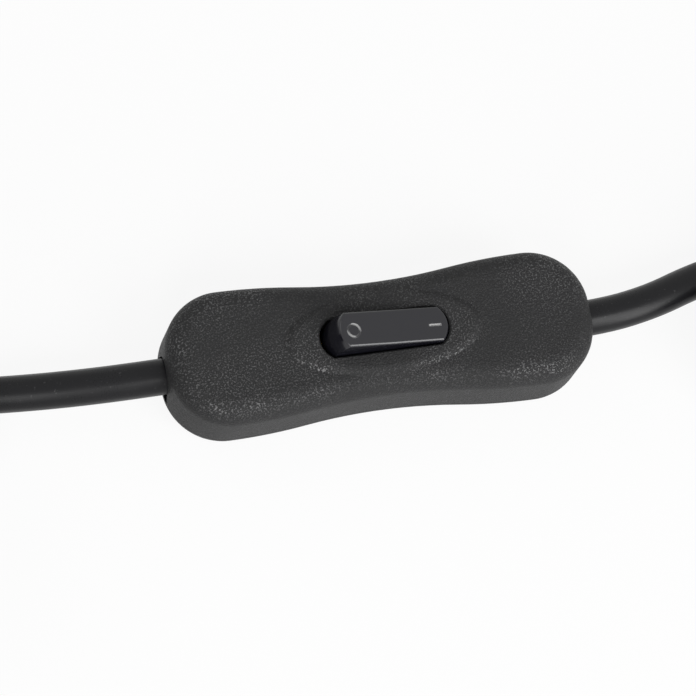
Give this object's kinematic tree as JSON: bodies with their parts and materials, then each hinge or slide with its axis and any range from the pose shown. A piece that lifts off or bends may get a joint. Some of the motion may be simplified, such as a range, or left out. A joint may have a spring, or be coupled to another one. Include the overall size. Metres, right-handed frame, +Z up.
{
  "type": "inline cord switch",
  "caption": "Inline rocker switch on a round two-core mains cord, with flat plug and a prepared bare end.",
  "frame": {"origin": "on the underside, in the middle of the switch housing", "axes": "+X along the housing towards the lamp side, +Y across it, +Z up out of the rocker's face"},
  "size_m": [0.337, 0.0473, 0.0388],
  "materials": {
    "housing_plastic": "spark-eroded matt black",
    "rocker_plastic": "glossy black",
    "cord_jacket": "satin black PVC",
    "brass": "nickel-free brass",
    "contact_silver": "silver contact",
    "spring_steel": "spring steel",
    "screw_steel": "zinc plated steel",
    "nylon": "white nylon",
    "core_brown": "brown PVC",
    "core_blue": "blue PVC",
    "copper": "bare copper",
    "ferrule_tin": "tinned copper with collar",
    "tie_strap": "black hook-and-loop strap",
    "sleeve_plastic": "black pin sleeve",
    "plug_plastic": "satin black PVC"
  },
  "bodies": {
    "housing": {"upper_shell": "housing_plastic", "lower_shell": "housing_plastic", "fixed_contact": "contact_silver", "live_in_terminal": "brass", "live_out_terminal": "brass", "neutral_terminal": "brass", "terminal_screws": "screw_steel", "plug_side_clamp": "nylon", "lamp_side_clamp": "nylon", "clamp_screws": "screw_steel", "housing_screws": "screw_steel", "live_core_in": "core_brown", "neutral_core_in": "core_blue", "live_core_out": "core_brown", "neutral_core_out": "core_blue", "core_strands": "copper", "plug_side_cord": "cord_jacket", "lamp_side_cord": "cord_jacket", "plug_side_hank": "cord_jacket", "lamp_side_hank": "cord_jacket", "plug_tail": "cord_jacket", "lamp_tail": "cord_jacket", "plug_side_tie": "tie_strap", "lamp_side_tie": "tie_strap", "plug_body": "plug_plastic", "plug_pins": "brass", "plug_sleeves": "sleeve_plastic", "lamp_live_core": "core_brown", "lamp_neutral_core": "core_blue", "lamp_ferrules": "ferrule_tin"},
    "rocker": {"rocker": "rocker_plastic", "plunger_spring": "spring_steel"},
    "plunger": {"plunger": "nylon"},
    "bridge": {"contact_bridge": "copper", "moving_contact": "contact_silver"}
  },
  "joints": [
    {"name": "rocker_pivot", "type": "hinge", "parent": "housing", "child": "rocker", "pos_m": [0, 0, 0.0126], "axis": [0, -1, 0], "range_deg": [0, 23]},
    {"name": "plunger_slide", "type": "slide", "parent": "rocker", "child": "plunger", "axis": [0.1994, 0, 0.9799], "range_m": [0, 0.0005], "stiffness_N_per_m": 400, "springref_m": -0.002, "deforming": ["plunger_spring"]},
    {"name": "bridge_pivot", "type": "hinge", "parent": "housing", "child": "bridge", "pos_m": [0, 0, 0.0046], "axis": [0, -1, 0], "range_deg": [-16, 0]}
  ],
  "couplings": [
    {"joint": "bridge_pivot", "follows": "rocker_pivot", "ratio": -0.69565}
  ]
}
